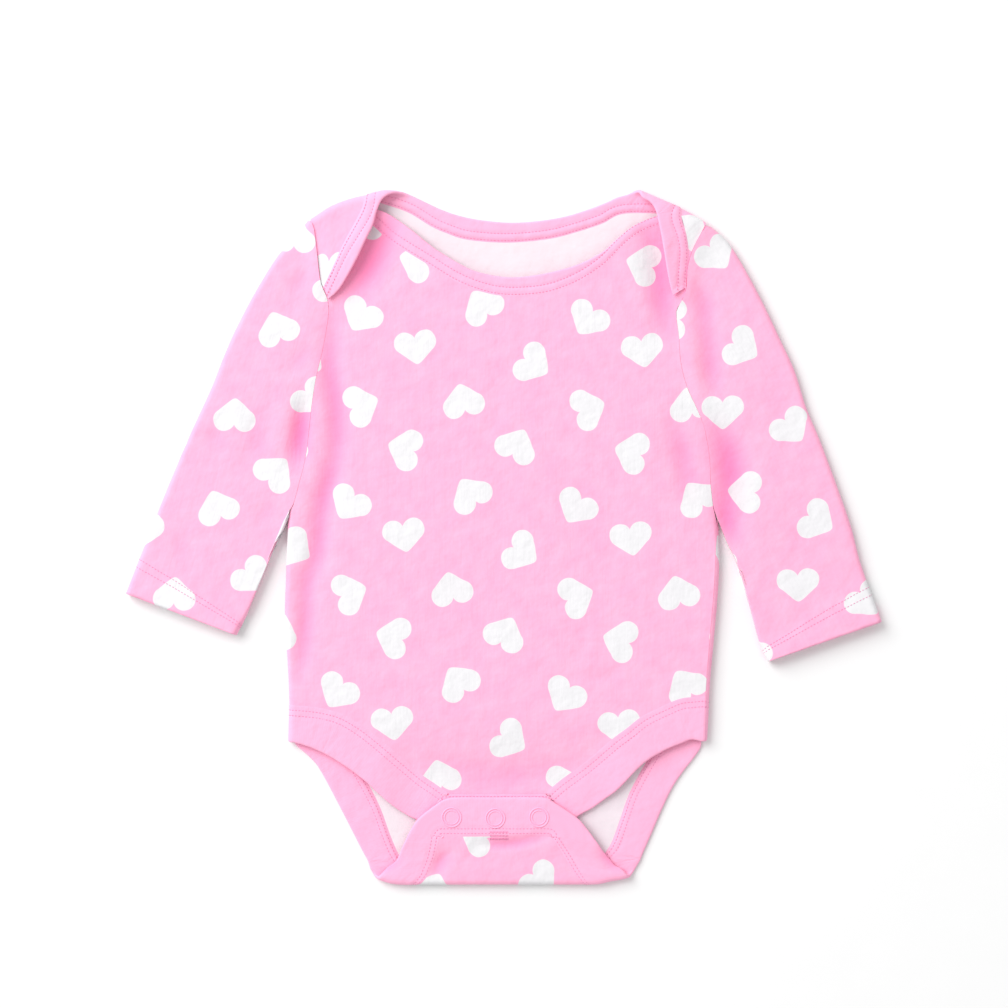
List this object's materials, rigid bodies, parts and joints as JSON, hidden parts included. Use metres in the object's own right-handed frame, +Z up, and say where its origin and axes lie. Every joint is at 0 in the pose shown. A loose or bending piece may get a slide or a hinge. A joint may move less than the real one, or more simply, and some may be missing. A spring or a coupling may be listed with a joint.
{
  "type": "baby bodysuit",
  "caption": "Long-sleeved baby bodysuit with lap shoulders and snap crotch, laid out flat front up, pink jersey with white hearts.",
  "frame": {"origin": "on the surface it lies on, under the middle of the whole garment's bounding box", "axes": "+X to the picture's right across the sleeves, +Y from crotch to neck, +Z up, out of the front"},
  "size_m": [0.4162, 0.382, 0.0081],
  "materials": {
    "jersey_print": "matt cotton jersey, pink with white hearts, nearly white reverse",
    "rib_trim": "matt cotton rib, plain pink",
    "snap": "satin pink enamel"
  },
  "bodies": {
    "root": {"front_panel": "jersey_print", "back_panel": "jersey_print", "sleeve_left": "jersey_print", "sleeve_right": "jersey_print", "neck_binding_front": "rib_trim", "neck_binding_back": "rib_trim", "leg_band_front_left": "rib_trim", "leg_band_front_right": "rib_trim", "leg_band_back_left": "rib_trim", "leg_band_back_right": "rib_trim", "crotch_placket_back": "rib_trim", "crotch_placket_front": "rib_trim", "snap_cap_1": "snap", "snap_cap_2": "snap", "snap_cap_3": "snap", "snap_stud_1": "snap", "snap_stud_2": "snap", "snap_stud_3": "snap", "snap_back_1": "snap", "snap_back_2": "snap", "snap_back_3": "snap"}
  },
  "joints": []
}
